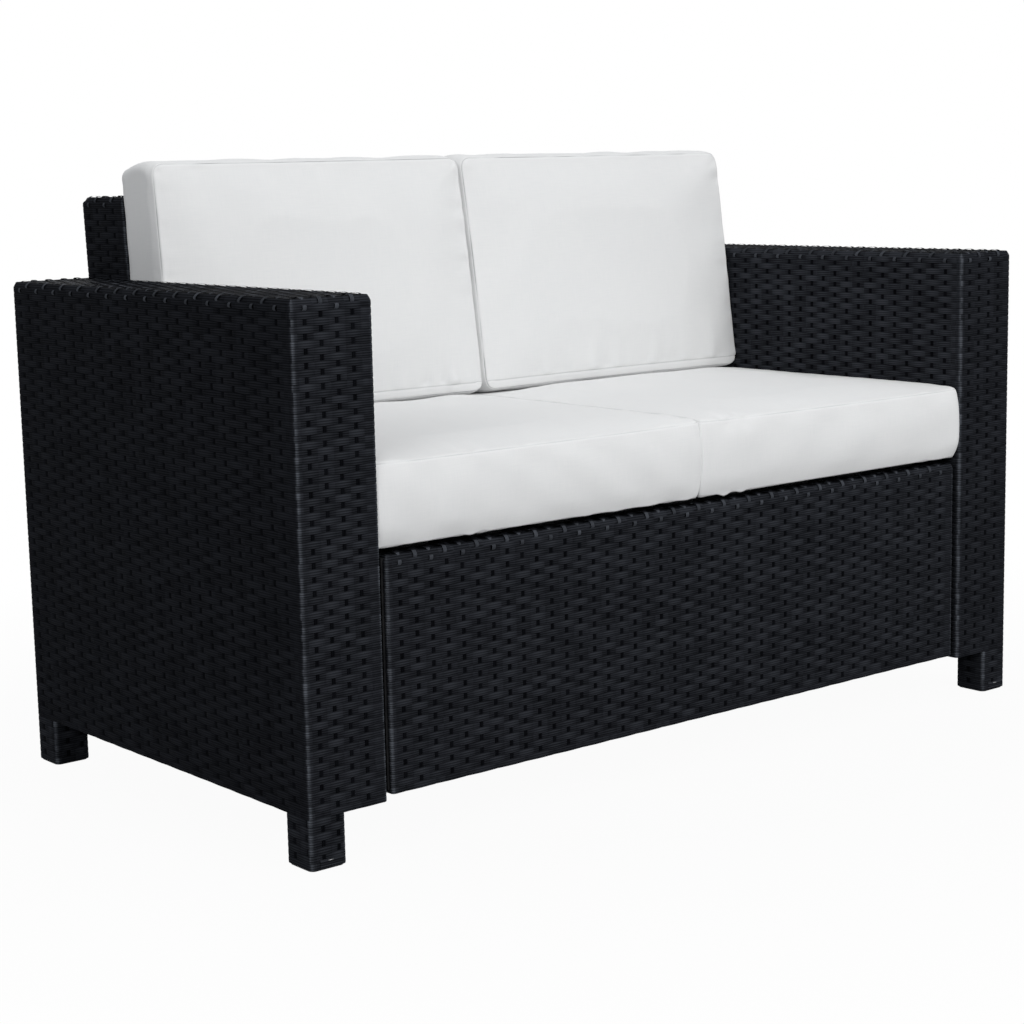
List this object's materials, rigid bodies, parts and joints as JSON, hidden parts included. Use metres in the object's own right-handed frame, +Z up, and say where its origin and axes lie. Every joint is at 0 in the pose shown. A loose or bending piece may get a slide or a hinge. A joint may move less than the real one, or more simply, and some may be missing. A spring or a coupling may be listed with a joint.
{
  "type": "patio loveseat",
  "caption": "Garden loveseat with woven resin arms, back and front panel over a welded tube frame, and loose boxed seat and back cushions.",
  "frame": {"origin": "on the ground, under the middle of the overall footprint", "axes": "+X along the seat to the sitter's left, seen from the front to the right; +Y to the rear; +Z up"},
  "size_m": [1.3, 0.6879, 0.8353],
  "materials": {
    "resin_weave": "satin",
    "frame_steel": "satin",
    "webbing": "matte",
    "fastener_steel": "satin",
    "foot_plastic": "matte",
    "cushion_fabric": "matte"
  },
  "bodies": {
    "root": {"arm_frame_left": "frame_steel", "arm_frame_right": "frame_steel", "back_frame": "frame_steel", "apron_frame": "frame_steel", "deck_rail_left": "frame_steel", "deck_rail_right": "frame_steel", "deck_rail_front": "frame_steel", "deck_rail_rear": "frame_steel", "deck_crossbars": "frame_steel", "arm_weave_left": "resin_weave", "arm_weave_right": "resin_weave", "back_weave": "resin_weave", "apron_weave": "resin_weave", "seat_straps_fore": "webbing", "seat_straps_side": "webbing", "strap_rivets": "fastener_steel", "rail_bolts": "fastener_steel", "lug_bolts": "fastener_steel", "washers": "fastener_steel", "rivet_nuts": "fastener_steel", "leg_wrap_front_left": "resin_weave", "foot_glide_front_left": "foot_plastic", "leg_wrap_front_right": "resin_weave", "foot_glide_front_right": "foot_plastic", "leg_wrap_rear_left": "resin_weave", "foot_glide_rear_left": "foot_plastic", "leg_wrap_rear_right": "resin_weave", "foot_glide_rear_right": "foot_plastic"},
    "seat_cushion_left": {"seat_cushion_left": "cushion_fabric"},
    "seat_cushion_right": {"seat_cushion_right": "cushion_fabric"},
    "back_cushion_left": {"back_cushion_left": "cushion_fabric"},
    "back_cushion_right": {"back_cushion_right": "cushion_fabric"}
  },
  "joints": [
    {"name": "seat_cushion_left_slide", "type": "slide", "parent": "root", "child": "seat_cushion_left", "axis": [0, -1, 0], "range_m": [0, 0.56]},
    {"name": "seat_cushion_right_slide", "type": "slide", "parent": "root", "child": "seat_cushion_right", "axis": [0, -1, 0], "range_m": [0, 0.56]},
    {"name": "back_cushion_left_lift", "type": "slide", "parent": "root", "child": "back_cushion_left", "axis": [0, 0.061, 0.9981], "range_m": [0, 0.37]},
    {"name": "back_cushion_right_lift", "type": "slide", "parent": "root", "child": "back_cushion_right", "axis": [0, 0.061, 0.9981], "range_m": [0, 0.37]}
  ]
}
